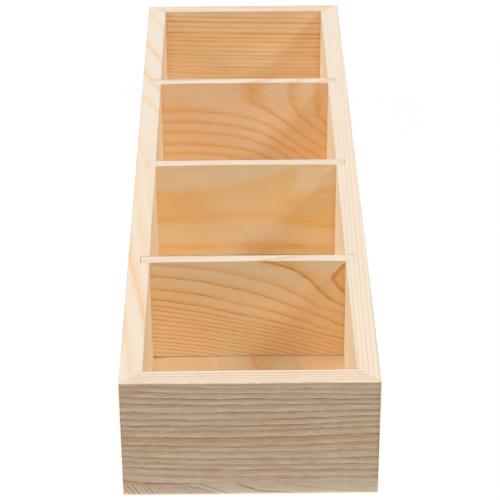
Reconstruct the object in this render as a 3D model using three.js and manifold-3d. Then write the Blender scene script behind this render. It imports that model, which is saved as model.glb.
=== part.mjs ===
// An open pine box that sorts tea bags into four compartments. Four mitred walls are glued and
// pinned together and onto a flat base board, and three thin dividers stand in grooves ploughed
// down the inside of the long walls, so that each one lifts straight out.
// Millimetres, +Z up. The origin is under the middle of the base board, the front is towards -Y.

import * as THREE from "three";
import { mergeVertices } from "three/addons/utils/BufferGeometryUtils.js";
import Module from "manifold-3d";

const wasm = await Module();
wasm.setup();

// Driving dimensions of the box
const boxWidth = 100;
const boxLength = 350;
const boxHeight = 53.5;
const wallThickness = 9;
const baseThickness = 5.5;
const dividerThickness = 5;
const dividerCount = 3;
const grooveDepth = 4;

// Eased edges: the sanded arrises of the frame, of the dividers and around the foot of the base
const frameArris = 0.5;
const dividerArris = 0.3;
const footRadius = 1.2;
const arcSteps = 2;

// Clearances: the glue lines, and the loose fit of a divider in its grooves
const glueLine = 0.1;
const grooveSideClearance = 0.15;
const grooveEndClearance = 0.4;
const dividerFootClearance = 0.1;

// Headless wire brads, sunk a little below the face that they are driven through
const bradDiameter = 0.9;
const bradLength = 18;
const bradPoint = 1.6;
const bradSink = 0.5;
const bradClearance = 0.05;
const bradSides = 8;
const mitreBradInset = 12;
const boreOvershoot = 1;

// Heights and spacings that follow from the dimensions above
const wallBottom = baseThickness + glueLine;
const wallHeight = boxHeight - wallBottom;
const compartmentCount = dividerCount + 1;
const innerLength = boxLength - 2 * wallThickness;
const compartmentLength = (innerLength - dividerCount * dividerThickness) / compartmentCount;
const compartmentPitch = compartmentLength + dividerThickness;
const wallCentreX = (boxWidth - wallThickness) / 2;
const wallCentreY = (boxLength - wallThickness) / 2;
const spread = (count) => Array.from({ length: count }, (_, i) => (i - (count - 1) / 2) * compartmentPitch);
const dividerPlaces = spread(dividerCount);
const compartmentPlaces = spread(compartmentCount);

// A closed geometry as a solid, and a solid as a flat-shaded geometry
const weldDistance = 1e-4;

function solidOf(geometry) {
  const bare = geometry.clone();
  bare.deleteAttribute("normal");
  bare.deleteAttribute("uv");
  const merged = mergeVertices(bare, weldDistance);
  const vertProperties = merged.getAttribute("position").array;
  const triVerts = new Uint32Array(merged.index.array);
  return new wasm.Manifold(new wasm.Mesh({ numProp: 3, vertProperties, triVerts }));
}

function geometryOf(solid) {
  const { vertProperties, triVerts, numProp } = solid.getMesh();
  const indexed = new THREE.BufferGeometry();
  indexed.setAttribute("position", new THREE.BufferAttribute(vertProperties, numProp));
  indexed.setIndex(new THREE.BufferAttribute(triVerts, 1));
  const geometry = indexed.toNonIndexed();
  geometry.computeVertexNormals();
  return geometry;
}

// Extrusions centred on the origin. Along X a section is drawn in Y and Z, along Y in X and Z.
const xAxis = new THREE.Vector3(1, 0, 0);
const yAxis = new THREE.Vector3(0, 1, 0);
const zAxis = new THREE.Vector3(0, 0, 1);
const sectionTurn = {
  x: new THREE.Matrix4().makeBasis(yAxis, zAxis, xAxis),
  y: new THREE.Matrix4().makeBasis(xAxis, zAxis, yAxis.clone().negate()),
  z: new THREE.Matrix4(),
};

function extruded(section, length, axis) {
  const geometry = new THREE.ExtrudeGeometry(section, {
    depth: length,
    bevelEnabled: false,
    curveSegments: arcSteps,
  });
  return geometry.translate(0, 0, -length / 2).applyMatrix4(sectionTurn[axis]);
}

// A board's section standing on y = 0, centred on x = 0, with its two upper edges rounded
function easedTopSection(width, height, radius) {
  const half = width / 2;
  return new THREE.Shape()
    .moveTo(-half, 0)
    .lineTo(half, 0)
    .lineTo(half, height - radius)
    .absarc(half - radius, height - radius, radius, 0, Math.PI / 2)
    .lineTo(radius - half, height)
    .absarc(radius - half, height - radius, radius, Math.PI / 2, Math.PI);
}

// The same with its two lower edges rounded instead
function easedFootSection(width, height, radius) {
  const half = width / 2;
  return new THREE.Shape()
    .moveTo(half, height)
    .lineTo(-half, height)
    .lineTo(-half, radius)
    .absarc(radius - half, radius, radius, Math.PI, 1.5 * Math.PI)
    .lineTo(half - radius, 0)
    .absarc(half - radius, radius, radius, -Math.PI / 2, 0);
}

// The outline of the box from above, with its sanded corners
function footprint(width, length, radius) {
  const [x, y] = [width / 2 - radius, length / 2 - radius];
  return new THREE.Shape()
    .absarc(x, -y, radius, -Math.PI / 2, 0)
    .absarc(x, y, radius, 0, Math.PI / 2)
    .absarc(-x, y, radius, Math.PI / 2, Math.PI)
    .absarc(-x, -y, radius, Math.PI, 1.5 * Math.PI);
}

// A frame wall seen from above: outer face on y = 0, inner face on y = wallThickness, ends mitred
// at 45 degrees and set back by half a glue line, outer corners eased up to the mitre.
function mitredPlan(length) {
  const half = length / 2 - glueLine * Math.SQRT1_2;
  const centre = half - frameArris;
  return new THREE.Shape()
    .moveTo(-centre, 0)
    .lineTo(centre, 0)
    .absarc(centre, frameArris, frameArris, -Math.PI / 2, -Math.PI / 4)
    .lineTo(half - wallThickness, wallThickness)
    .lineTo(wallThickness - half, wallThickness)
    .absarc(-centre, frameArris, frameArris, -0.75 * Math.PI, -Math.PI / 2);
}

// A wall is a planed board with eased top edges, cut to the mitred plan
function mitredWall(length) {
  const section = easedTopSection(wallThickness, wallHeight, frameArris);
  const board = extruded(section, length, "x").translate(0, wallThickness / 2, 0);
  const plan = extruded(mitredPlan(length), wallHeight, "z").translate(0, 0, wallHeight / 2);
  return solidOf(board).intersect(solidOf(plan));
}

// A long wall has a full-height groove across its inner face for each divider
function groovedWall(length) {
  const width = dividerThickness + 2 * grooveSideClearance;
  const cutDepth = grooveDepth + boreOvershoot;
  const cutHeight = wallHeight + 2 * boreOvershoot;
  const cutY = wallThickness - grooveDepth + cutDepth / 2;
  return dividerPlaces.reduce((wall, place) => {
    const cut = new THREE.BoxGeometry(width, cutDepth, cutHeight).translate(place, cutY, wallHeight / 2);
    return wall.subtract(solidOf(cut));
  }, mitredWall(length));
}

// The base board lies under the walls, flush with their outer faces, with its lower edges rounded
function baseBoard() {
  const outline = extruded(footprint(boxWidth, boxLength, frameArris), baseThickness, "z");
  const across = extruded(easedFootSection(boxWidth, baseThickness, footRadius), boxLength, "y");
  const along = extruded(easedFootSection(boxLength, baseThickness, footRadius), boxWidth, "x");
  return solidOf(outline.translate(0, 0, baseThickness / 2))
    .intersect(solidOf(across))
    .intersect(solidOf(along));
}

// A divider stands just clear of the base, level with the top of the walls
const dividerBottom = baseThickness + dividerFootClearance;
const dividerHeight = boxHeight - dividerBottom;
const dividerLength = boxWidth - 2 * (wallThickness - grooveDepth + grooveEndClearance);

function dividerBoard() {
  return extruded(easedTopSection(dividerThickness, dividerHeight, dividerArris), dividerLength, "x");
}

// A brad runs from its head at the origin towards -Y. Its bore has room all round and is open
// above the head.
const bradRadius = bradDiameter / 2;

function turnedPin(radius, tip, shoulder, top) {
  const profile = [
    [0, tip],
    [radius, shoulder],
    [radius, top],
    [0, top],
  ].map(([x, y]) => new THREE.Vector2(x, y));
  return new THREE.LatheGeometry(profile, bradSides);
}

const bradGeometry = turnedPin(bradRadius, -bradLength, bradPoint - bradLength, 0);
const boreGeometry = turnedPin(
  bradRadius + bradClearance,
  -bradLength - bradPoint * (bradClearance / bradRadius) - bradClearance,
  bradPoint - bradLength - bradClearance,
  bradSink + boreOvershoot,
);

// Colours and finish
const brushedPine = { color: 0xe9d2b1, roughness: 0.8, metalness: 0 };
const planedPine = { color: 0xf0d9b8, roughness: 0.65, metalness: 0 };
const warmPine = { color: 0xe6bf8f, roughness: 0.65, metalness: 0 };
const brightWire = { color: 0xb9bbbd, roughness: 0.35, metalness: 1 };

function piece(name, geometry, finish, position, rotation = [0, 0, 0]) {
  const mesh = new THREE.Mesh(geometry, new THREE.MeshStandardMaterial(finish));
  mesh.name = name;
  mesh.position.set(...position);
  mesh.rotation.set(...rotation);
  return mesh;
}

// The frame: each wall is turned so that its outer face looks outwards
const endWall = geometryOf(mitredWall(boxWidth));
const longWall = geometryOf(groovedWall(boxLength));
const quarterTurn = Math.PI / 2;
const frontWall = piece("front_wall", endWall, brushedPine, [0, -boxLength / 2, wallBottom]);
const backWall = piece("back_wall", endWall, brushedPine, [0, boxLength / 2, wallBottom], [0, 0, Math.PI]);
const leftWall = piece("left_wall", longWall, planedPine, [-boxWidth / 2, 0, wallBottom], [0, 0, -quarterTurn]);
const rightWall = piece("right_wall", longWall, planedPine, [boxWidth / 2, 0, wallBottom], [0, 0, quarterTurn]);
const base = piece("base_board", geometryOf(baseBoard()), warmPine, [0, 0, 0]);

// The dividers, named from the front
const dividers = dividerPlaces.map((place, i) =>
  piece(`divider_${i + 1}`, dividerBoard(), warmPine, [0, place, dividerBottom]),
);

// Two brads hold each mitre: they enter the long wall and run into the end of the short one
const walls = { front: frontWall, back: backWall, left: leftWall, right: rightWall };
const sides = { left: -1, right: 1 };
const ends = { front: -1, back: 1 };
const mitreHeights = { lower: wallBottom + mitreBradInset, upper: boxHeight - mitreBradInset };
const brads = [];

function addBrad(name, boards, position, rotation) {
  const brad = piece(name, bradGeometry, brightWire, position, rotation);
  brads.push({ brad, boards });
}

for (const [side, sideSign] of Object.entries(sides)) {
  for (const [end, endSign] of Object.entries(ends)) {
    for (const [level, height] of Object.entries(mitreHeights)) {
      const position = [sideSign * (boxWidth / 2 - bradSink), endSign * wallCentreY, height];
      const boards = [walls[side], walls[end]];
      addBrad(`mitre_brad_${end}_${side}_${level}`, boards, position, [0, 0, -sideSign * quarterTurn]);
    }
  }
}

// Brads driven up through the base: one in each long wall at every compartment, one in each end wall
const upwards = [-quarterTurn, 0, 0];
for (const [side, sideSign] of Object.entries(sides)) {
  compartmentPlaces.forEach((place, i) => {
    const position = [sideSign * wallCentreX, place, bradSink];
    addBrad(`base_brad_${side}_${i + 1}`, [base, walls[side]], position, upwards);
  });
}
for (const [end, endSign] of Object.entries(ends)) {
  addBrad(`base_brad_${end}`, [base, walls[end]], [0, endSign * wallCentreY, bradSink], upwards);
}

// Each board is bored for the brads that pass through it
for (const board of [...Object.values(walls), base]) {
  board.updateMatrix();
  const intoBoard = board.matrix.clone().invert();
  const bored = brads
    .filter(({ boards }) => boards.includes(board))
    .reduce((solid, { brad }) => {
      brad.updateMatrix();
      const bore = boreGeometry.clone().applyMatrix4(brad.matrix).applyMatrix4(intoBoard);
      return solid.subtract(solidOf(bore));
    }, solidOf(board.geometry));
  board.geometry = geometryOf(bored);
}

const frame = new THREE.Group().add(...Object.values(walls), base);
const dividerSet = new THREE.Group().add(...dividers);
const bradSet = new THREE.Group().add(...brads.map(({ brad }) => brad));
const teaBox = new THREE.Group().add(frame, dividerSet, bradSet);

export default teaBox;
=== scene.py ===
import math
import random

import bmesh
import bpy
from mathutils import Matrix, Vector


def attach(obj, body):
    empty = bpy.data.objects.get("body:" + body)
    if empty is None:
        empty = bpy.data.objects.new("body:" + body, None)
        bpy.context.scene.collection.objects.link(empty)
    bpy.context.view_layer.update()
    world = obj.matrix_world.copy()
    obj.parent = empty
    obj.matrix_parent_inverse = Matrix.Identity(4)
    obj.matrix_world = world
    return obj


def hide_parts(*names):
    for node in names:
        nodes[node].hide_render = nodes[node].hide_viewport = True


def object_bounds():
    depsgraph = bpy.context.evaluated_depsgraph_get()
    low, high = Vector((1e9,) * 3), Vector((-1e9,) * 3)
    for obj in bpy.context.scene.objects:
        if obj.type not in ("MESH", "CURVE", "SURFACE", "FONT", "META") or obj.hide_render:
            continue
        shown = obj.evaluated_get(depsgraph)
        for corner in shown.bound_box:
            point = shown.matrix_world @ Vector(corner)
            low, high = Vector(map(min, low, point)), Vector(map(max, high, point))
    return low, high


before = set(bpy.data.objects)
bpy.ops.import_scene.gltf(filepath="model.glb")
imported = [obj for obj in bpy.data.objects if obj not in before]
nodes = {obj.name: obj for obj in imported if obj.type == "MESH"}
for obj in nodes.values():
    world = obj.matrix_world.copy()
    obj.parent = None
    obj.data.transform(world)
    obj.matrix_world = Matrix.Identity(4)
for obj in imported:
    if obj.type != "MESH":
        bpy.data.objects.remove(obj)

cadLow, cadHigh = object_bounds()
mm = 0.001
rim = cadHigh.z / mm  # top of the walls; boards are sized in millimetres, the studio in metres
halfWidth = cadHigh.x / mm
halfLength = cadHigh.y / mm
print("frame loaded:", len(nodes), "nodes, rim at", round(rim, 2), "mm")


# Node helpers: a value is a number, a colour or another node's socket

def feed(tree, socket, value):
    if isinstance(value, bpy.types.NodeSocket):
        tree.links.new(value, socket)
    else:
        socket.default_value = value


def calc(tree, operation, *values):
    node = tree.nodes.new("ShaderNodeMath")
    node.operation = operation
    for socket, value in zip(node.inputs, values):
        feed(tree, socket, value)
    return node.outputs[0]


def remap(tree, value, low, high, toLow=0.0, toHigh=1.0, kind="LINEAR", clamp=True):
    node = tree.nodes.new("ShaderNodeMapRange")
    node.interpolation_type = kind
    node.clamp = clamp
    for socket, number in zip(node.inputs, (value, low, high, toLow, toHigh)):
        feed(tree, socket, number)
    return node.outputs[0]


def drawnCurve(tree, value, points, smooth=True, hold=False):
    # a drawn curve through the points, carried on straight past both ends or held there
    xs, ys = [p[0] for p in points], [p[1] for p in points]
    lowY, highY = min(ys), max(ys) + 1e-6  # a level curve still has some height
    node = tree.nodes.new("ShaderNodeFloatCurve")
    node.mapping.use_clip = False
    node.mapping.extend = "HORIZONTAL" if hold else "EXTRAPOLATED"
    line = node.mapping.curves[0]
    while len(line.points) < len(points):
        line.points.new(0.5, 0.5)
    for dot, (x, y) in zip(line.points, points):
        dot.location = ((x - xs[0]) / (xs[-1] - xs[0]), (y - lowY) / (highY - lowY))
        dot.handle_type = "AUTO_CLAMPED" if smooth else "VECTOR"
    node.mapping.update()
    feed(tree, node.inputs["Value"], remap(tree, value, xs[0], xs[-1], clamp=False))
    return remap(tree, node.outputs[0], 0, 1, lowY, highY, clamp=False)


def cloud(tree, place, stretch, detail=2.0, rough=0.5):
    # noise with a size in millimetres along each of the board's own directions
    scale = tree.nodes.new("ShaderNodeVectorMath")
    scale.operation = "DIVIDE"
    feed(tree, scale.inputs[0], place)
    scale.inputs[1].default_value = stretch
    node = tree.nodes.new("ShaderNodeTexNoise")
    tree.links.new(scale.outputs[0], node.inputs["Vector"])
    node.inputs["Scale"].default_value = 1.0
    node.inputs["Detail"].default_value = detail
    node.inputs["Roughness"].default_value = rough
    return node.outputs[0]


def shiver(tree, place, stretch, detail=2.0, rough=0.5):
    # the same noise, swinging about zero
    return calc(tree, "SUBTRACT", cloud(tree, place, stretch, detail, rough), 0.5)


def blend(tree, amount, first, second, kind="MIX"):
    node = tree.nodes.new("ShaderNodeMix")
    node.data_type = "RGBA"
    node.blend_type = kind
    feed(tree, node.inputs["Factor"], amount)
    feed(tree, node.inputs["A"], first)
    feed(tree, node.inputs["B"], second)
    return node.outputs["Result"]


def blankMaterial(name):
    material = bpy.data.materials.new(name)
    material.use_nodes = True
    return material, material.node_tree, material.node_tree.nodes["Principled BSDF"]


def raiseSurface(tree, shader, height, distance):
    bump = tree.nodes.new("ShaderNodeBump")
    bump.inputs["Distance"].default_value = distance
    feed(tree, bump.inputs["Height"], height)
    tree.links.new(bump.outputs[0], shader.inputs["Normal"])


def dress(node, material):
    node.data.materials.clear()
    node.data.materials.append(material)


def paint(red, green, blue):
    # a colour as read on screen, made linear
    def linear(value):
        value /= 255
        return value / 12.92 if value <= 0.04045 else ((value + 0.055) / 1.055) ** 2.4
    return (linear(red), linear(green), linear(blue), 1.0)


# What all the pine shares. Each kind of mark: its size along, across and into a board, detail, roughness
marks = {
    "breaks": ((24.0, 3.0, 3.0), 2.0, 0.5),  # where a growth line fades
    "patches": ((60.0, 12.0, 12.0), 2.0, 0.5),
    "fibres": ((20.0, 0.55, 0.55), 3.0, 0.65),
    "hairs": ((3.5, 0.3, 0.3), 2.0, 0.6),
    "streaks": ((9.0, 0.36, 0.36), 2.0, 0.6),
    "flecks": ((3.0, 0.5, 0.5), 1.0, 0.5),
    "grit": ((0.8, 0.32, 0.32), 1.0, 0.5),
    "tears": ((2.6, 0.5, 0.5), 3.0, 0.65),
    "knots": ((2.2, 2.2, 2.2), 2.0, 0.5),
}
pine = {
    # the same slope bounds the painted light and shade along the right wall's shadow edge
    "slope": 0.65,  # how far a slanting flame leans for each millimetre down the face
    "breakLevel": (0.3, 0.6), "patchLevel": (0.36, 0.7), "fleckLevel": (0.64, 0.76), "fleckTone": 0.88,
    "warm": 0.2, "core": (0.62, 0.95), "fine": 0.4, "fineGaps": (1.5, 5.0), "streak": 0.3,
    "hairShare": 0.8, "evenLevel": 0.9,  # hairs against fibres, and the level that leaves the colour as it is
    "tint": (0.75, 1.0, 1.4),  # dark fibres turn redder
    "rough": 0.66, "lineRough": -0.1, "fibreRough": 0.14, "specular": 0.3,
    "skinDepth": (0.35, 0.6), "sawnDepth": (0.6, 0.2), "edgeSoft": 0.3,
    "hairHeight": 0.02, "fibreHeight": 0.03, "tearHeight": 0.1,
}


# Growth rings. Each board has its own sheet: along the grain, across the face, into the board.
# The same nodes colour a board and, in a relief modifier, carve it.

def boardPlace(tree, grain):
    split = tree.nodes.new("ShaderNodeSeparateXYZ")
    if tree.bl_idname == "GeometryNodeTree":
        tree.links.new(tree.nodes.new("GeometryNodeInputPosition").outputs[0], split.inputs[0])
    else:
        tree.links.new(tree.nodes.new("ShaderNodeTexCoord").outputs["Object"], split.inputs[0])
    ways = []
    for axis, sign, start in (grain["along"], grain["across"], grain["into"]):
        ways.append(calc(tree, "MULTIPLY_ADD", split.outputs[axis], sign / mm, start))
    along, across, depth = ways
    into = calc(tree, "MAXIMUM", depth, grain.get("skin", -1.0))  # carving stays within the skin
    place = tree.nodes.new("ShaderNodeCombineXYZ")
    for socket, way in zip(place.inputs, (along, across, into)):
        tree.links.new(way, socket)
    side = calc(tree, "ABSOLUTE", along)
    slant = calc(tree, "MULTIPLY_ADD", across, pine["slope"], along)
    return {"along": along, "across": across, "depth": depth, "into": into, "side": side, "slant": slant,
            "place": place.outputs[0]}


def growthRings(tree, grain):
    at = boardPlace(tree, grain)
    along, across, place = at["along"], at["across"], at["place"]
    drift = 0.0
    for bend, share, *way in grain["drift"]:
        sway = drawnCurve(tree, at[way[0]] if way else along, bend)
        if share:
            sway = calc(tree, "MULTIPLY", sway, drawnCurve(tree, across, share))
        drift = calc(tree, "ADD", drift, sway)
    start = across
    if "lift" in grain:
        start = drawnCurve(tree, across, grain["lift"])
    lean = grain["lean"]
    if isinstance(lean, list):
        lean = drawnCurve(tree, across, lean)
    ring = calc(tree, "MULTIPLY_ADD", at["into"], lean, calc(tree, "SUBTRACT", start, drift))
    for stretch, size in grain["wobble"]:
        ring = calc(tree, "MULTIPLY_ADD", shiver(tree, place, stretch), size * 2, ring)
    if "bands" in grain:
        late = drawnCurve(tree, ring, grain["bands"], hold=True)
    else:
        late = ringLines(tree, ring, at, grain)
    broken = remap(tree, cloud(tree, place, *marks["breaks"]), *pine["breakLevel"], 1 - grain["broken"], 1.0)
    late = calc(tree, "MULTIPLY", late, broken)
    if "calm" in grain:
        late = calc(tree, "MULTIPLY", late, drawnCurve(tree, along, grain["calm"], hold=True))
    at["late"] = late
    return at


def ringLines(tree, ring, at, grain):
    # how dark the wood is, from the distance to the growth line above and to the one below
    lines = grain["rings"]
    count = drawnCurve(tree, ring, [(line, i) for i, line in enumerate(lines)], smooth=False)
    index = calc(tree, "FLOOR", count)
    follow = calc(tree, "ADD", index, 1.0)
    above, below = [drawnCurve(tree, number, list(enumerate(lines)), smooth=False) for number in (index, follow)]
    gap = calc(tree, "SUBTRACT", below, above)
    narrow = remap(tree, gap, *pine["fineGaps"], grain.get("fine", pine["fine"]), 1.0)
    if "swell" in grain:
        narrow = calc(tree, "MULTIPLY", narrow, drawnCurve(tree, at["across"], grain["swell"], hold=True))
    past = calc(tree, "DIVIDE", calc(tree, "SUBTRACT", ring, above), narrow)
    ahead = calc(tree, "DIVIDE", calc(tree, "SUBTRACT", below, ring), narrow)
    fades = []
    for distance, fade, number in ((past, grain["after"], index), (ahead, grain["before"], follow)):
        chance = tree.nodes.new("ShaderNodeTexWhiteNoise")
        chance.noise_dimensions = "1D"
        feed(tree, chance.inputs["W"], number)
        strength = remap(tree, chance.outputs[0], 0, 1, 1 - grain["uneven"], 1.0)
        fades.append(calc(tree, "MULTIPLY", drawnCurve(tree, distance, fade, hold=True), strength))
    late = calc(tree, "MAXIMUM", *fades)
    if "strength" in grain:
        late = calc(tree, "MULTIPLY", late, drawnCurve(tree, ring, grain["strength"], hold=True))
    return late


def boardTones(tree, at, grain):
    # the planed face, then the rough outer face, the sanded top edge and the sawn ends over it
    tones, outer, top = grain["face"], 0.0, 0.0
    if "outer" in grain:
        outer = remap(tree, at["depth"], *pine["skinDepth"], 1.0, 0.0, "SMOOTHSTEP")
        tones = [blend(tree, outer, *pair) for pair in zip(tones, grain["outer"])]
    if "top" in grain:
        edge = grain["edge"]
        if isinstance(edge, list):
            edge = drawnCurve(tree, at["along"], edge, hold=True)
        soft = calc(tree, "MULTIPLY", edge, pine["edgeSoft"])
        top = remap(tree, at["across"], soft, edge, 1.0, 0.0, "SMOOTHSTEP")
        tones = [blend(tree, top, *pair) for pair in zip(tones, grain["top"])]
    for part, way, reach in (("edges", "across", halfWidth), ("ends", "along", halfLength)):
        if part in grain:
            middle = calc(tree, "ABSOLUTE", calc(tree, "SUBTRACT", at[way], reach))
            low, high = [reach - depth for depth in pine["sawnDepth"]]
            share = remap(tree, middle, low, high, kind="SMOOTHSTEP")
            tones = [blend(tree, share, *pair) for pair in zip(tones, grain[part])]
    return tones, outer, top


def fibreTintAndPaintedLight(tree, at, grain, outer, fibre, hair):
    # light and dark fibres, streaks and grit on the rough faces, short resin flecks, and painted light along some
    # boards
    place = at["place"]
    swing = calc(tree, "MULTIPLY_ADD", hair, pine["hairShare"], fibre)
    swing = calc(tree, "SUBTRACT", swing, pine["evenLevel"])
    torn = remap(tree, outer, 0, 1, pine["streak"], grain.get("streak", pine["streak"]))
    swing = calc(tree, "MULTIPLY_ADD", shiver(tree, place, *marks["streaks"]), torn, swing)
    if "grit" in grain:
        speck = shiver(tree, place, *marks["grit"])
        swing = calc(tree, "MULTIPLY_ADD", speck, calc(tree, "MULTIPLY", outer, grain["grit"]), swing)
    contrast = remap(tree, outer, 0, 1, grain["fibre"], grain.get("rough", grain["fibre"]))
    shade = calc(tree, "MULTIPLY_ADD", swing, contrast, 1.0)
    fleck = cloud(tree, place, *marks["flecks"])
    shade = calc(tree, "MULTIPLY", shade, remap(tree, fleck, *pine["fleckLevel"], 1.0, pine["fleckTone"]))
    # painted light: the board lighter along its length where the lamps reach it less
    if "paintedLight" in grain:
        shade = calc(tree, "MULTIPLY", shade, drawnCurve(tree, at["along"], grain["paintedLight"], hold=True))
    tint = tree.nodes.new("ShaderNodeCombineColor")
    for socket, power in zip(tint.inputs, pine["tint"]):
        feed(tree, socket, calc(tree, "POWER", shade, power))
    return tint.outputs[0]


def knotColour(tree, wood, at, knot):
    # a spike knot cut by the board's end: a blunt wedge with a darker rind
    sides = []
    for way, middle, size in zip((at["along"], at["across"]), knot["at"], knot["size"]):
        reach = calc(tree, "DIVIDE", calc(tree, "ABSOLUTE", calc(tree, "SUBTRACT", way, middle)), size)
        sides.append(calc(tree, "POWER", reach, knot["blunt"]))
    away = calc(tree, "POWER", calc(tree, "ADD", *sides), 1 / knot["blunt"])
    away = calc(tree, "MULTIPLY_ADD", shiver(tree, at["place"], *marks["knots"]), knot["shake"], away)
    away = calc(tree, "ADD", away, remap(tree, at["across"], *knot["below"]))  # it ends below the top edge
    heart = remap(tree, away, *knot["heartEdge"], 1.0, 0.0, "SMOOTHSTEP")
    rind = calc(tree, "MULTIPLY", remap(tree, away, *knot["rindIn"]), remap(tree, away, *knot["rindOut"], 1.0, 0.0))
    wood = blend(tree, calc(tree, "MULTIPLY", heart, knot["heartShare"]), wood, knot["heart"])
    return blend(tree, calc(tree, "MULTIPLY", rind, knot["rindShare"]), wood, knot["rind"])


def pineMaterial(name, grain):
    material, tree, shader = blankMaterial(name)
    at = growthRings(tree, grain)
    late, place = at["late"], at["place"]
    (early, band, line), outer, top = boardTones(tree, at, grain)
    fibre = cloud(tree, place, *marks["fibres"])
    hair = cloud(tree, place, *marks["hairs"])

    # slow warm patches under the growth lines, then fibres, stains and painted light and shade, and the knot over them
    patch = remap(tree, cloud(tree, place, *marks["patches"]), *pine["patchLevel"])
    early = blend(tree, patch, early, blend(tree, grain.get("warm", pine["warm"]), early, band))
    wood = blend(tree, late, early, band)
    core = remap(tree, late, *grain.get("core", pine["core"]), kind="SMOOTHSTEP")
    wood = blend(tree, core, wood, line)
    wood = blend(tree, 1.0, wood, fibreTintAndPaintedLight(tree, at, grain, outer, fibre, hair), "MULTIPLY")
    # stains in the wood, and painted light and shade, each multiplied over its patch
    for part, ways, stainAndPaintedLight in grain.get("stainsAndPaintedLight", []):
        share = outer if part == "outer" else calc(tree, "SUBTRACT", 1.0, top)
        for way, low, high in ways:
            share = calc(tree, "MULTIPLY", share, remap(tree, at[way], low, high, kind="SMOOTHSTEP"))
        wood = blend(tree, share, wood, (*stainAndPaintedLight, 1.0), "MULTIPLY")
    if "knot" in grain:
        wood = knotColour(tree, wood, at, grain["knot"])
    feed(tree, shader.inputs["Base Color"], wood)

    rough = calc(tree, "MULTIPLY_ADD", late, pine["lineRough"], pine["rough"])
    feed(tree, shader.inputs["Roughness"], calc(tree, "MULTIPLY_ADD", fibre, pine["fibreRough"], rough))
    shader.inputs["Specular IOR Level"].default_value = pine["specular"]

    # fine relief in millimetres; on outer faces that aren't carved the hard growth lines stand proud
    height = calc(tree, "MULTIPLY", fibre, pine["fibreHeight"])
    height = calc(tree, "MULTIPLY_ADD", hair, pine["hairHeight"], height)
    if "outer" in grain:
        if "skin" not in grain:
            height = calc(tree, "MULTIPLY_ADD", calc(tree, "MULTIPLY", late, outer), grain["ridge"], height)
        tear = cloud(tree, place, *marks["tears"])
        height = calc(tree, "MULTIPLY_ADD", calc(tree, "MULTIPLY", tear, outer), pine["tearHeight"], height)
    raiseSurface(tree, shader, height, mm)
    return material


# Finishes: pale spring wood, the orange band of a ring, the hard line that ends it
leftTopPine = (paint(246, 231, 212), paint(248, 212, 170), paint(247, 204, 156))
rightTopPine = (paint(248, 232, 213), paint(241, 210, 178), paint(234, 198, 160))
plainPine = (paint(246, 230, 211), paint(238, 211, 180), paint(232, 200, 164))
endTopPine = (paint(249, 232, 213), paint(222, 184, 142), paint(203, 157, 110))
backTopPine = (paint(246, 228, 208), paint(242, 210, 172), paint(236, 197, 152))
planedPine = (paint(249, 223, 185), paint(240, 190, 120), paint(227, 161, 87))
softPine = (paint(252, 229, 194), paint(250, 198, 105), paint(245, 182, 82))
farPine = (paint(250, 216, 176), paint(243, 192, 127), paint(237, 177, 103))
sidePine = (paint(249, 233, 205), paint(242, 209, 158), paint(239, 199, 145))
sidePalePine = (paint(250, 233, 206), paint(246, 221, 184), paint(243, 214, 173))
floorPine = (paint(235, 210, 174), paint(227, 185, 129), paint(221, 173, 110))
brushedPine = (paint(207, 191, 168), paint(193, 147, 100), paint(146, 102, 68))
endPine = (paint(213, 197, 174), paint(190, 160, 136), paint(166, 134, 110))

# Darkness against millimetres from the growth line
sharpEdge = [(0, 1), (0.18, 0.3), (0.36, 0), (2, 0)]
crispEdge = [(0, 1), (0.3, 0.3), (0.6, 0), (2, 0)]
slowFade = [(0, 1), (0.3, 0.84), (0.7, 0.58), (1.3, 0.34), (2.0, 0.12), (2.8, 0), (5, 0)]
brushedFade = [(0, 1), (0.3, 0.78), (0.55, 0.66), (1.2, 0.6), (1.6, 0.28), (2.1, 0.05), (2.8, 0), (6, 0)]
evenFade = [(0, 1), (0.45, 0.68), (1.0, 0.22), (1.6, 0), (4, 0)]
broadFade = [(0, 1), (0.6, 0.75), (1.4, 0.3), (2.4, 0), (5, 0)]
wideFade = [(0, 1), (1.2, 0.7), (2.6, 0.3), (4.2, 0), (8, 0)]
calmWobble = [((70.0, 12.0, 12.0), 0.45), ((9.0, 1.4, 1.4), 0.18)]
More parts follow.
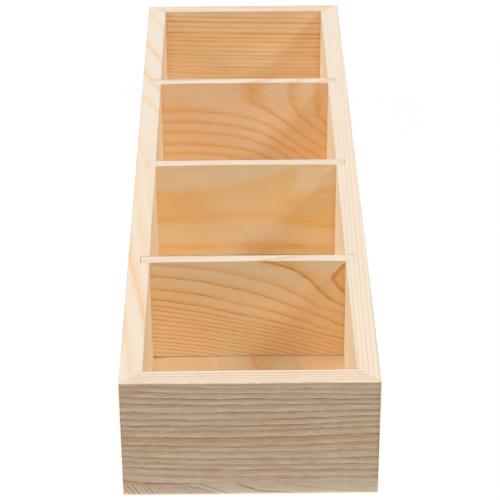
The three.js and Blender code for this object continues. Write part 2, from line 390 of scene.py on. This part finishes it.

# The sheets. along, across, into: axis, sign and start. rings: where the growth lines lie across the face.
# drift: curves along the board that bend the lines, each with its share across the face.
# lean: how far a line moves for each millimetre into the board. wobble: size and reach of its shake.
# strength goes by ring, swell by across; calm, the painted light and an edge curve go by along.
# stainsAndPaintedLight: the part, the ramps that bound the patch, and the colour that multiplies it; some are stains
# in the wood, some painted light and shade
frontGrain = {
    "along": ("X", 1, 0), "across": ("Z", -1, rim), "into": ("Y", 1, halfLength), "skin": 0.4,
    "rings": [-9, -6, -3, 0.1, 2.5, 5.0, 7.5, 10.3, 13.8, 17.0, 19.9, 22.2, 25.7, 29.7, 32.5, 35.8, 38.6, 41.3, 44.6,
              48.6, 52, 56, 60, 64, 68],
    "drift": [
        ([(-50, -0.4), (-30, 0.35), (-15, 0.65), (0, 0.7), (15, 0.7), (30, 0.45), (50, 0.3)], None),
        ([(-50, 1.3), (-42, 1.0), (-28, 0.45), (-10, 0.0), (0, 0.0)],
         [(0, 0), (18, 0.2), (24, 0), (30, -0.3), (36, -0.5), (44, -1.0), (48, -0.62)]),
        ([(0, 0.0), (12, 0.1), (28, 0.6), (42, 1.1), (50, 1.3)],
         [(0, 0.4), (6, 0.9), (10, 0.2), (16, -0.7), (22, -0.9), (27, -0.9), (33, -0.2), (43, 0.5), (48, 0.4)]),
    ],
    "lean": 1.75, "wobble": [((60.0, 9.0, 9.0), 0.35), ((10.0, 1.5, 1.5), 0.4), ((2.5, 0.7, 0.7), 0.24)],
    "after": brushedFade, "before": sharpEdge, "uneven": 0.2, "broken": 0.2, "fine": 0.6,
    "face": planedPine, "outer": brushedPine, "top": endTopPine,
    "fibre": 0.2, "rough": 0.72, "streak": 1.1, "grit": 0.55, "ridge": 0.28, "tear": 0.16,
    "edge": [(-50, 0.12), (-36, 0.14), (-28, 0.35), (-19, 0.65), (0, 0.7), (30, 0.8), (50, 1.0)],
    "strength": [(-3, 1.0), (-1.2, 0.9), (0.1, 0.5), (1.2, 0.9), (2.5, 1.0), (18, 1.05), (22.2, 1.05), (25.7, 1.25),
                 (28, 1.0), (29.7, 0.92), (35.8, 0.92), (40, 0.95), (50, 0.9)],
    "swell": [(0, 1.0), (23, 1.0), (25.5, 1.0), (26.5, 1.8), (29, 1.8), (30.5, 1.0), (48, 1.0)],
    "stainsAndPaintedLight": [
        ("outer", [("across", 1.6, 1.1), ("across", 0.3, 0.65), ("along", -34, 0)], (1.0, 0.85, 0.6)),
        ("outer", [("side", 48.8, 49.7)], (1.05, 0.92, 0.78)),
        ("outer", [("across", 20, 25), ("across", 35, 29)], (0.99, 0.955, 0.92)),
        # painted shadow in the opened glue line at the foot, left of middle
        ("outer", [("across", 47.3, 47.7), ("along", -46, -26), ("along", -9, -20)], (0.74, 0.67, 0.6)),
    ],
}
backGrain = {
    "along": ("X", 1, 0), "across": ("Z", -1, rim), "into": ("Y", -1, halfLength), "skin": 0.4,
    "rings": [-3, 0.2, 2.8, 5.6, 8.7, 12.2, 14.7, 16.9, 19.7, 22.7, 24.8, 26.7, 29.3, 31.8, 33.7, 35.5, 37.6, 40.3,
              43, 46, 49, 52, 55],
    "drift": [([(-41, 2.1), (-21, 2.9), (0, 3.45), (20, 3.9), (41, 4.3)], None)],
    "lean": 0.35, "wobble": calmWobble,
    "after": broadFade, "before": broadFade, "uneven": 0.3, "broken": 0.3, "fine": 0.6,
    "face": planedPine, "outer": brushedPine, "top": backTopPine, "edge": 0.6,
    "fibre": 0.16, "ridge": 0.28, "tear": 0.16,
    "strength": [(-3, 0.86), (2.8, 0.86), (5.6, 0.95), (8.7, 1.04), (12.2, 1.05), (14.7, 0.92), (31, 0.9), (34, 0.78),
                 (55, 0.8)],
    # painted light: the back board a little lighter all over
    "paintedLight": [(-41, 1.03), (41, 1.03)],
    "stainsAndPaintedLight": [
        ("face", [("across", 34, 6)], (0.99, 0.965, 0.945)),
        # painted light: the lower left of the inner face paler
        ("face", [("along", -25, -38), ("across", 29, 36)], (1.02, 1.07, 1.16)),
    ],
}
leftGrain = {
    "along": ("Y", 1, halfLength), "across": ("Z", -1, rim), "into": ("X", 1, halfWidth),
    "rings": [-12, -3, 5.4, 14.4, 20.9, 26.5, 42.2, 54, 67.6, 82.8, 96, 110, 124, 138],
    "drift": [([(0, 0), (40, -5.6), (80, -11.4), (97, -13.9), (120, -16.7), (146, -19.4), (178, -22), (194, -26),
                (215, -30), (250, -45.5), (350, -86.5)], None)],
    "lean": 1.0, "wobble": [((60.0, 10.0, 10.0), 1.6), ((12.0, 1.6, 1.6), 0.4)],
    "after": wideFade, "before": broadFade, "uneven": 0.2, "broken": 0.3,
    "face": sidePine, "outer": brushedPine, "top": leftTopPine, "edge": 0.6, "fibre": 0.1, "ridge": 0.2,
    "strength": [(5.4, 0.6), (14.4, 1.0), (20.9, 0.75), (26.5, 0.6), (42, 0.8), (54, 1.0), (68, 1.0), (83, 0.55),
                 (110, 0.8)],
    # painted light: lighter towards the back end
    "paintedLight": [(0, 1.0), (350, 1.06)],
}
rightGrain = {
    "along": ("Y", 1, halfLength), "across": ("Z", -1, rim), "into": ("X", -1, halfWidth),
    "rings": [-23, -15.5, -7.4, 0, 7.6, 15.0, 22.9, 30.2, 38, 45.8, 53.0, 60.9, 68.4, 76, 84, 92, 100, 108],
    "drift": [([(0, -4.8), (175, -10.5), (350, -22)], None)],
    "lean": 4.0, "wobble": [((90.0, 12.0, 12.0), 1.5), ((12.0, 1.4, 1.4), 0.5)],
    "after": broadFade, "before": broadFade, "uneven": 0.4, "broken": 0.3,
    "face": sidePalePine, "outer": brushedPine, "top": rightTopPine, "edge": 0.6, "fibre": 0.12, "ridge": 0.2,
    # the painted light: lighter towards the back end
    "calm": [(0, 1.0), (175, 0.75), (350, 0.5)], "paintedLight": [(0, 1.0), (350, 1.06)],
}
baseGrain = {
    "along": ("Y", 1, halfLength), "across": ("X", 1, halfWidth), "into": ("Z", -1, 5.5),
    "rings": [-3, -0.6, 1.4, 3.4, 5.3, 7.2, 9.0, 10.7, 12.4, 14.0, 15.5, 17.0, 18.4, 19.8, 21.1, 22.4, 23.7, 25.0,
              30.4, 44.8, 62.6, 104, 130],
    "drift": [([(0, 0), (40, 6.5), (68, 9.2), (85, 7.5), (100, 5.6), (160, 5), (350, 12)], None)],
    "lean": [(0, -0.7), (26, -0.9), (31, -2.4), (46, -2.3), (63, -4.2), (100, -8.0)],
    "wobble": [((90.0, 14.0, 14.0), 0.8), ((9.0, 1.4, 1.4), 0.25)],
    "after": evenFade, "before": broadFade, "uneven": 0.3, "broken": 0.3, "fine": 0.3,
    "face": floorPine, "edges": brushedPine, "ends": endPine, "fibre": 0.16,
    "calm": [(0, 1.25), (2, 1.25), (6, 0.7), (350, 0.7)],
    "stainsAndPaintedLight": [
        # painted light from the white floor: the front end lighter towards its foot
        ("face", [("depth", 3.7, 4.9), ("along", 0.6, 0.2)], (1.55, 1.45, 1.36)),
        ("face", [("depth", 1.4, 3.2), ("along", 0.6, 0.2)], (1.13, 1.11, 1.1)),
        # painted shade along the middle of the compartment floors, painted light on their right part
        ("face", [("depth", 0.5, 0.2), ("across", 47, 53), ("across", 64, 58)], (1.03, 0.94, 0.83)),
        ("face", [("depth", 0.5, 0.2), ("across", 66, 78)], (1.05, 1.0, 0.92)),
    ],
}
nearGrain = {
    "along": ("X", 1, 41), "across": ("Z", -1, rim), "into": ("Y", 1, 85.95), "skin": 0.0,
    "rings": [-30, -18, -5.5, 1.4, 7.1, 13.4, 18.8, 22.0, 24.0, 26.5, 28.7, 31.1, 33.6, 35.7, 37.7, 39.8, 41.5, 43.3,
              45.4, 47.6],
    "drift": [
        ([(-4, -0.9), (2, 0), (12, 1.65), (22, 3.5), (32, 6.0), (42, 8.5), (52, 11.35), (62, 15.2), (72, 19.6),
          (80, 23.1), (86, 25.6)],
         [(0, 0.6), (5, 0.72), (10, 0.9), (16, 1.02), (22, 1.1), (27, 1.08), (31, 1.03), (35, 0.94), (40, 0.86),
          (48, 0.8)]),
        ([(-4, 0), (64, 0), (70, 0.6), (75, 0.9), (82, 1.05), (86, 1.1)],
         [(0, 0), (8, 0), (12, 1.2), (16, 1.8), (19, 1.9), (22.4, 1.7), (24.4, 0.3), (26, 0), (28, 0.1), (31, 1.3),
          (33, 1.9), (36, 1.0), (41, 0), (48, 0)]),
    ],
    "lean": 0.9, "wobble": [((70.0, 12.0, 12.0), 0.45), ((9.0, 1.4, 1.4), 0.22), ((2.5, 0.8, 0.8), 0.12)],
    "after": crispEdge, "before": slowFade, "uneven": 0.2, "broken": 0.25,
    "face": planedPine, "top": plainPine, "edge": 0.45, "fibre": 0.16,
    "strength": [(-6, 1.1), (1.4, 0.8), (7.1, 1.15), (13.4, 1.0), (19, 1.0), (22, 1.05), (48, 1.05)],
    "swell": [(0, 1.6), (10, 1.3), (20, 1.0)],
    "knot": {
        "at": (84.8, 8.8), "size": (8.7, 9.6), "blunt": 1.3, "shake": 0.16, "below": (1.4, 0.6),
        "heart": paint(248, 194, 122), "heartShare": 0.7, "heartEdge": (0.86, 1.0),
        "rind": paint(226, 134, 60), "rindShare": 0.75, "rindIn": (0.74, 0.95), "rindOut": (0.96, 1.08),
    },
    "stainsAndPaintedLight": [
        ("face", [("across", 5, 16), ("across", 44, 32)], (1.0, 0.965, 0.9)),
        ("face", [("along", 44, 70), ("across", 4, 16)], (1.0, 0.95, 0.88)),
        # painted shade low in the middle, where both side walls shade the face
        ("face", [("along", 28, 50), ("along", 74, 60), ("across", 24, 44)], (0.96, 0.93, 0.85)),
        # painted light: the lower left paler
        ("face", [("along", 26, 4), ("across", 24, 38)], (1.0, 1.035, 1.07)),
        ("face", [("along", 44, 52), ("along", 67, 58), ("across", 5, 2)], (0.98, 0.9, 0.76)),
        ("face", [("along", 0.4, 0.8), ("along", 3.6, 3.0), ("across", 0.8, 0.5)], (0.72, 0.68, 0.64)),
    ],
}
middleGrain = {
    "along": ("X", 1, 41), "across": ("Z", -1, rim), "into": ("Y", 1, 1.7), "skin": 0.0,
    "bands": [(-12, 0.35), (-6, 0.12), (0, 0.1), (2, 0.3), (4.5, 0.08), (9, 0.04), (12.5, 0.25), (16.5, 0.6),
              (20, 0.56), (24, 0.54), (27.5, 0.7), (30.5, 0.48), (33.5, 0.12), (38, 0.06), (41.5, 0.22), (43.5, 0.7),
              (45.5, 0.3), (49, 0.15)],
    "drift": [
        ([(-4, 1.2), (10, 0.4), (18, -0.2), (36, -2.7), (45, -5.3), (57, -8.8), (63, -11), (67, -11), (72, -8),
          (78, -5), (86, -3)],
         [(0, 1.0), (8, 1.0), (14, 0.8), (22, 0.35), (28, 0.05), (48, 0.0)]),
        ([(-4, 0), (62, 0), (66, 2), (69, 8), (72, 12), (79, 13), (82, 8), (86, 2), (89, 0), (120, 0)],
         [(0, 0.5), (8, 0.8), (12, 0.85), (16, 0.78), (20, 0.58), (24, 0.3), (28, 0.1), (31, 0), (48, 0)], "slant"),
        ([(-4, 0), (20, -0.5), (45, -0.8), (60, 0.5), (72, 2.5), (86, 4.5)],
         [(0, 0.0), (20, 0.3), (28, 1.0), (36, 0.6), (48, 0.2)]),
    ],
    "lean": 0.5, "wobble": [((30.0, 9.0, 9.0), 2.6), ((12.0, 1.6, 1.6), 0.5)], "broken": 0.45,
    "face": softPine, "top": plainPine, "edge": 0.45, "fibre": 0.18, "warm": 0.3,
    "calm": [(0, 1.0), (20, 1.0), (30, 0.8), (50, 0.8), (60, 1.05), (72, 1.08), (82, 1.0)],
    "stainsAndPaintedLight": [
        # painted shade low in the middle
        ("face", [("across", 38, 42), ("along", 32, 43), ("along", 62, 50)], (0.97, 0.925, 0.82)),
        # painted light: a pale strip lit beside the right wall's shadow edge
        ("face", [("slant", 64, 71), ("slant", 88, 81), ("across", 25, 9)], (1.0, 1.02, 1.08)),
        # painted shade: the right wall's shadow in the upper right corner
        ("face", [("slant", 82, 88), ("across", 30, 22)], (0.97, 0.97, 0.98)),
    ],
}
farGrain = {
    "along": ("X", 1, 41), "across": ("Z", -1, rim), "into": ("Y", 1, -82.55), "skin": 0.0,
    "rings": [-30, -18, -6.0, 0.0, 8.6, 15.5, 21.4, 27.1, 33.8, 39.0, 44.5, 50, 56],
    "lift": [(0, 12.2), (7, 12.5), (11, 13.1), (14, 14.6), (15.5, 15.7), (18, 18.0), (24, 24.0), (40, 40.0),
             (48, 48.0)],  # the crest: near the top the face runs along one ring
    "drift": [
        ([(-4, 0), (2, 0), (12, 0), (22, 0.7), (32, 1.8), (42, 4.0), (52, 7.8), (62, 14.1), (72, 21.5), (80, 27),
          (86, 31)],
         [(0, 0.78), (12, 0.84), (20, 1.0), (30, 1.06), (37, 1.03), (48, 1.0)]),
        ([(-4, 0), (64, 0), (73, 0.6), (78, 1.0), (86, 1.3)],
         [(0, -1.8), (10, -1.6), (16, -0.6), (22, 0), (48, 0)]),
    ],
    "lean": 0.8, "wobble": [((40.0, 7.0, 7.0), 0.7), ((8.0, 3.0, 3.0), 0.4), ((3.0, 1.0, 1.0), 0.15)],
    "after": evenFade, "before": broadFade, "uneven": 0.2, "broken": 0.3,
    "face": farPine, "top": (paint(250, 234, 218), *plainPine[1:]), "edge": 0.45, "fibre": 0.16, "core": (0.78, 1.28),
    "strength": [(-30, 0.95), (0, 1.05), (8.6, 1.32), (12.5, 1.05), (56, 1.05)],
    "swell": [(0, 1.6), (9, 1.4), (18, 0.95), (30, 1.0), (48, 1.0)],
    "stainsAndPaintedLight": [
        # painted shade on the right below the top, where the right wall shades the face
        ("face", [("along", 50, 76), ("across", 6, 18)], (0.98, 0.9, 0.79)),
        # painted light: the upper right paler
        ("face", [("along", 44, 54), ("across", 11, 4)], (1.0, 1.03, 1.11)),
    ],
}

# Boards kept from the frame, with their grooves and bores, in a better finish
for board, grain in {"left_wall": leftGrain, "right_wall": rightGrain, "base_board": baseGrain}.items():
    dress(nodes[board], pineMaterial("pine_" + board, grain))
print("walls and base dressed")


def settle(shape, name, body, material, smoothBelow):
    # smoothBelow: faces smaller than this, in square metres, are shaded smooth
    bmesh.ops.recalc_face_normals(shape, faces=shape.faces[:])
    for face in shape.faces:
        face.smooth = face.calc_area() < smoothBelow
    mesh = bpy.data.meshes.new(name)
    shape.to_mesh(mesh)
    shape.free()
    mesh.materials.append(material)
    thing = bpy.data.objects.new(name, mesh)
    bpy.context.scene.collection.objects.link(thing)
    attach(thing, body)
    return thing


def ease(shape, edges, width):
    bmesh.ops.bevel(shape, geom=edges, offset=width * mm, offset_type="OFFSET", segments=3, profile=0.5,
                    affect="EDGES", material=-1)


# The two end walls: mitred, eased, their outer faces carved by the growth lines
endWall = {
    "foot": 5.52, "reach": 0.04, "thick": 9.0, "ease": 0.5, "cuts": 180, "smoothBelow": 1e-4,
    "press": 0.6, "pressAbove": 50,  # dents in the top edge are pressed down too
    "turn": (-math.pi / 2, -1.18, -math.pi / 4),  # steps round an outer corner, up to the mitre
    "gap": {"left": -43.0, "right": -11.0, "leftRun": 6, "rightRun": 9, "open": 0.16},  # in the glue line below
    "carved": {"face": 0.02, "top": (0.5, 1.0), "sides": (1.0, 0.6), "foot": (8.5, 5.7)},  # where the carving fades
}
endBoards = {  # side: -1 for the front, 1 for the back; thin: between the long walls; dents: x, z, reach, depth
    "front_board": {
        "replaced": "front_wall", "side": -1, "thin": 8.4, "grain": frontGrain,
        "dents": [(-15.4, 53.0, 0.9, 0.5), (49.4, 32.1, 0.8, 0.5), (49.4, 12.5, 0.5, 0.25), (-49.4, 22.5, 0.6, 0.3),
                  (28.0, 53.0, 0.5, 0.25)],
    },
    "back_board": {
        "replaced": "back_wall", "side": 1, "thin": 7.2, "grain": backGrain,
        "dents": [(31.0, 53.0, 0.7, 0.4), (-49.4, 40.5, 0.6, 0.35)],
    },
}


def endBoard(name, board, look):
    replaced, side, thin, grain = board["replaced"], board["side"], board["thin"], board["grain"]
    half, thick, arris = halfWidth + look["reach"], look["thick"], look["ease"]
    corner = [(half - arris + arris * math.cos(a), arris + arris * math.sin(a)) for a in look["turn"]]
    plan = [(-x, y) for x, y in reversed(corner)] + corner
    plan += [(half - thick, thick), (half - thick, thin), (thick - half, thin), (thick - half, thick)]
    shape = bmesh.new()
    ring = [shape.verts.new((x * mm, side * (halfLength - y) * mm, look["foot"] * mm)) for x, y in plan]
    sole = shape.faces.new(ring)
    raised = bmesh.ops.extrude_face_region(shape, geom=[sole])["geom"]
    lifted = [v for v in raised if isinstance(v, bmesh.types.BMVert)]
    bmesh.ops.translate(shape, verts=lifted, vec=(0, 0, (rim - look["foot"]) * mm))

    def isEased(edge):
        # along the top, but not on the mitres nor on the steps beside the long walls
        a, b = [v.co for v in edge.verts]
        mitred = abs(a.y - b.y) > 5 * mm
        stepped = abs(a.x - b.x) < 0.1 * mm and max(abs(a.y), abs(b.y)) < (halfLength - thin + 1) * mm
        return min(a.z, b.z) > (rim - 1) * mm and not mitred and not stepped
    ease(shape, [e for e in shape.edges if isEased(e)], arris)

    # the outer face as a fine grid
    outerY, close = side * halfLength * mm, 1e-7
    flat = [f for f in shape.faces if all(abs(v.co.y - outerY) < close for v in f.verts)][0]
    bmesh.ops.subdivide_edges(shape, edges=flat.edges[:], cuts=look["cuts"], use_grid_fill=True)
    onFace = [v for v in shape.verts if abs(v.co.y - outerY) < close]
    gap, footEdge = look["gap"], (look["foot"] + 0.01) * mm
    for vert in onFace:
        if vert.co.z < footEdge:  # the glue line opens a little on the left
            fromLeft = (vert.co.x / mm - gap["left"]) / gap["leftRun"]
            fromRight = (gap["right"] - vert.co.x / mm) / gap["rightRun"]
            vert.co.z += gap["open"] * max(0.0, min(1.0, fromLeft, fromRight)) * mm
    for x, z, reach, deep in board["dents"]:  # knocks on the edges
        spot = Vector((x * mm, outerY, z * mm))
        for vert in onFace:
            near = 1 - (vert.co - spot).length / (reach * mm)
            if near > 0:
                vert.co.y -= side * deep * near * mm
                vert.co.z -= look["press"] * deep * near * mm if z > look["pressAbove"] else 0

    thing = settle(shape, name, "case", pineMaterial("pine_" + name, grain), look["smoothBelow"])
    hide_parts(replaced)
    carve(thing, grain, side, look["carved"])


def carve(thing, grain, side, carved):
    # spring wood sinks below the hard growth lines
    tree = bpy.data.node_groups.new(thing.name + "_relief", "GeometryNodeTree")
    tree.interface.new_socket("Geometry", in_out="INPUT", socket_type="NodeSocketGeometry")
    tree.interface.new_socket("Geometry", in_out="OUTPUT", socket_type="NodeSocketGeometry")
    start, end = tree.nodes.new("NodeGroupInput"), tree.nodes.new("NodeGroupOutput")
    at = growthRings(tree, grain)
    spring = calc(tree, "SUBTRACT", 1.0, at["late"])
    tear = calc(tree, "MULTIPLY", cloud(tree, at["place"], *marks["tears"]), grain["tear"])
    sink = calc(tree, "MULTIPLY_ADD", spring, grain["ridge"], tear)
    sideIn, sideOut = [halfWidth - far for far in carved["sides"]]
    footIn, footOut = [rim - far for far in carved["foot"]]
    for mask in (calc(tree, "LESS_THAN", at["depth"], carved["face"]),
                 remap(tree, at["across"], *carved["top"]),
                 remap(tree, at["side"], sideIn, sideOut, 1.0, 0.0),
                 remap(tree, at["across"], footIn, footOut, 1.0, 0.0)):
        sink = calc(tree, "MULTIPLY", sink, mask)
    offset = tree.nodes.new("ShaderNodeCombineXYZ")
    feed(tree, offset.inputs["Y"], calc(tree, "MULTIPLY", sink, -side * mm))
    move = tree.nodes.new("GeometryNodeSetPosition")
    tree.links.new(start.outputs[0], move.inputs["Geometry"])
    tree.links.new(offset.outputs[0], move.inputs["Offset"])
    tree.links.new(move.outputs[0], end.inputs[0])
    relief = thing.modifiers.new("relief", "NODES")
    relief.node_group = tree


for name, board in endBoards.items():
    endBoard(name, board, endWall)
print("end walls carved:", len(endBoards))


# Dividers, each cut and set a little differently: two values are for the left and the right end
divider = {"thick": 5.0, "ease": 0.3, "cuts": 31, "halfOpening": 41, "smoothBelow": 1e-6}
dividerCuts = {
    "near_divider": {"replaced": "divider_1", "grain": nearGrain, "middles": (-84.25, -84.14),
                     "ends": (-44.8, 44.95), "feet": (5.88, 5.64), "hollow": 0.65},
    "middle_divider": {"replaced": "divider_2", "grain": middleGrain, "middles": (0.03, 0.1),
                       "ends": (-44.95, 44.86), "feet": (5.62, 5.62), "hollow": 0.65},
    "far_divider": {"replaced": "divider_3", "grain": farGrain, "middles": (84.25, 84.28),
                    "ends": (-44.93, 44.93), "feet": (5.62, 5.64), "hollow": 0.75},
}


def dividerBoard(name, cut, look):
    replaced, middles = cut["replaced"], cut["middles"]
    shape = bmesh.new()
    bmesh.ops.create_cube(shape, size=1.0)
    for vert in shape.verts:
        end = 0 if vert.co.x < 0 else 1
        z = rim if vert.co.z > 0 else cut["feet"][end]
        vert.co = (cut["ends"][end] * mm, (middles[end] + vert.co.y * look["thick"]) * mm, z * mm)
    long = [e for e in shape.edges if abs(e.verts[0].co.x - e.verts[1].co.x) > 10 * mm]
    bmesh.ops.subdivide_edges(shape, edges=long, cuts=look["cuts"], use_grid_fill=True)
    for vert in shape.verts:  # the front is sanded a little hollow between the walls
        if vert.co.y < sum(middles) / 2 * mm:
            vert.co.y += cut["hollow"] * max(0.0, 1 - (vert.co.x / mm / look["halfOpening"]) ** 4) * mm
    arrises = [e for e in shape.edges if all(v.co.z > (rim - 1) * mm for v in e.verts)
               and abs(e.verts[0].co.x - e.verts[1].co.x) > mm]
    ease(shape, arrises, look["ease"])
    material = pineMaterial("pine_" + name, cut["grain"])
    thing = settle(shape, name, replaced, material, look["smoothBelow"])
    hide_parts(replaced)


for name, cut in dividerCuts.items():
    dividerBoard(name, cut, divider)
print("dividers cut:", len(dividerCuts))


# Torn fibres where the saw left the right-hand groove, in front of the near divider
tornEdge = {
    "x": 41.0, "y": -86.9, "from": 36.5, "to": 52.1, "count": 15, "seed": 7,
    "reach": (0.3, 0.85), "wide": (0.16, 0.34), "lift": (-0.1, 0.5), "step": (0.1, 0.9),
    "rootIn": 0.05, "rootFront": -0.45, "rootBack": 0.02,
}


def tornFibres(look):
    chance = random.Random(look["seed"])
    inner, front, back = look["rootIn"], look["rootFront"], look["rootBack"]
    shape = bmesh.new()
    for i in range(look["count"]):
        z = look["from"] + (look["to"] - look["from"]) * (i + chance.uniform(*look["step"])) / look["count"]
        reach, wide, lift = [chance.uniform(*look[size]) for size in ("reach", "wide", "lift")]
        spots = [(inner, front, -wide), (inner, back, -wide), (inner, back, wide), (inner, front, wide)]
        spots.append((-reach, 0.0, lift))
        *root, tip = [shape.verts.new(((look["x"] + x) * mm, (look["y"] + y) * mm, (z + h) * mm)) for x, y, h in spots]
        shape.faces.new(root)
        for first, second in zip(root, root[1:] + root[:1]):
            shape.faces.new((first, second, tip))
    settle(shape, "torn_fibres", "case", pineMaterial("pine_torn", rightGrain), 0.0)


tornFibres(tornEdge)
print("torn fibres set:", tornEdge["count"])


# Bright drawn wire, a little dulled
bradLook = {
    "wire": paint(186, 188, 190), "dull": paint(120, 112, 104), "patch": ((0.9, 0.9, 0.9), 3.0, 0.6),
    "dullLevel": (0.45, 0.65), "roughLevel": (0.4, 0.7), "rough": (0.3, 0.6), "pits": 0.05,
}


def wireMaterial(look):
    material, tree, shader = blankMaterial("brad_wire")
    coord = tree.nodes.new("ShaderNodeTexCoord")
    place = tree.nodes.new("ShaderNodeVectorMath")
    place.operation = "SCALE"
    place.inputs["Scale"].default_value = 1 / mm
    tree.links.new(coord.outputs["Object"], place.inputs[0])
    spots = cloud(tree, place.outputs[0], *look["patch"])
    dulled = remap(tree, spots, *look["dullLevel"])
    feed(tree, shader.inputs["Base Color"], blend(tree, dulled, look["wire"], look["dull"]))
    feed(tree, shader.inputs["Roughness"], remap(tree, spots, *look["roughLevel"], *look["rough"]))
    shader.inputs["Metallic"].default_value = 1.0
    raiseSurface(tree, shader, spots, mm * look["pits"])
    return material


wire = wireMaterial(bradLook)
brads = [name for name in nodes if "brad" in name]
for name in brads:
    dress(nodes[name], wire)
print("brads dressed:", len(brads))


# White table and soft studio light, in metres and watts
studio = {
    "floorSize": 6.0, "floorDrop": 0.0002, "floor": paint(246, 245, 243), "floorGlow": 0.9, "floorShadow": 0.14,
    "sky": 0.225, "skyColour": (1.0, 0.985, 0.96), "aim": (0, 0, 0.04),
    "lamps": [  # name, place, size, watts
        ("overheadLamp", (0.0, 0.8, 2.0), 1.6, 3.2),
        ("leftLamp", (-1.55, -0.22, 1.3), 1.0, 20.8),
        ("rightLamp", (1.25, -0.45, 1.41), 0.5, 15.7),
        ("frontLamp", (0.0, -2.2, 1.9), 1.3, 9.0),
    ],
}


def seenDirectly(tree):
    path = tree.nodes.new("ShaderNodeLightPath")
    first = calc(tree, "MAXIMUM", path.outputs["Is Camera Ray"], path.outputs["Is Glossy Ray"])
    return calc(tree, "MAXIMUM", first, path.outputs["Is Transmission Ray"])


def whiteFloor(look):
    shape = bmesh.new()
    bmesh.ops.create_grid(shape, x_segments=1, y_segments=1, size=look["floorSize"] / 2)
    mesh = bpy.data.meshes.new("floor")
    shape.to_mesh(mesh)
    shape.free()
    floor = bpy.data.objects.new("floor", mesh)
    floor.location.z = -look["floorDrop"]
    bpy.context.scene.collection.objects.link(floor)

    # white where it is seen, with a faint shadow; plain pale where it lights the box
    material, tree, shader = blankMaterial("floor_white")
    tree.nodes.remove(shader)
    plain = tree.nodes.new("ShaderNodeBsdfDiffuse")
    plain.inputs["Color"].default_value = look["floor"]
    shadow = tree.nodes.new("ShaderNodeBsdfDiffuse")
    shadow.inputs["Color"].default_value = (*(look["floorShadow"],) * 3, 1)
    glow = tree.nodes.new("ShaderNodeEmission")
    glow.inputs["Strength"].default_value = look["floorGlow"]
    seen = tree.nodes.new("ShaderNodeAddShader")
    tree.links.new(shadow.outputs[0], seen.inputs[0])
    tree.links.new(glow.outputs[0], seen.inputs[1])
    mix = tree.nodes.new("ShaderNodeMixShader")
    tree.links.new(seenDirectly(tree), mix.inputs[0])
    tree.links.new(plain.outputs[0], mix.inputs[1])
    tree.links.new(seen.outputs[0], mix.inputs[2])
    tree.links.new(mix.outputs[0], tree.nodes["Material Output"].inputs["Surface"])
    mesh.materials.append(material)


def studioSky(look):
    world = bpy.data.worlds.new("studio")
    bpy.context.scene.world = world
    world.use_nodes = True
    tree = world.node_tree
    back = tree.nodes["Background"]
    direct = seenDirectly(tree)
    feed(tree, back.inputs["Strength"], remap(tree, direct, 0, 1, look["sky"], 1.0))
    feed(tree, back.inputs["Color"], blend(tree, direct, (*look["skyColour"], 1), (1, 1, 1, 1)))


def softLamp(name, place, size, watts, aim):
    lamp = bpy.data.lights.new(name, "AREA")
    lamp.shape = "DISK"
    lamp.size = size
    lamp.energy = watts
    thing = bpy.data.objects.new(name, lamp)
    thing.location = place
    thing.rotation_euler = (Vector(aim) - Vector(place)).to_track_quat("-Z", "Y").to_euler()
    bpy.context.scene.collection.objects.link(thing)


whiteFloor(studio)
studioSky(studio)
for lampName, place, size, watts in studio["lamps"]:
    softLamp(lampName, place, size, watts, studio["aim"])
print("studio lit:", len(studio["lamps"]), "lamps")

# The photographer's place, found from the corners of the box: metres, degrees, millimetres of lens
view = {
    "place": (-0.00424, -0.78678, 0.47999), "yaw": 0.4244, "pitch": 31.01, "roll": -0.3321,
    "lens": 141.355, "sensor": 36.0, "nearest": 0.01,
}
lens = bpy.data.cameras.new("camera")
lens.sensor_width = view["sensor"]
lens.lens = view["lens"]
lens.clip_start = view["nearest"]
camera = bpy.data.objects.new("camera", lens)
bpy.context.scene.collection.objects.link(camera)
turn = Matrix.Rotation(-math.radians(view["yaw"]), 4, "Z")
tilt = Matrix.Rotation(math.radians(90 - view["pitch"]), 4, "X")
level = Matrix.Rotation(math.radians(view["roll"]), 4, "Z")
camera.matrix_world = Matrix.Translation(view["place"]) @ turn @ tilt @ level
bpy.context.scene.camera = camera
bpy.context.scene.view_settings.view_transform = "Standard"
print("camera set")
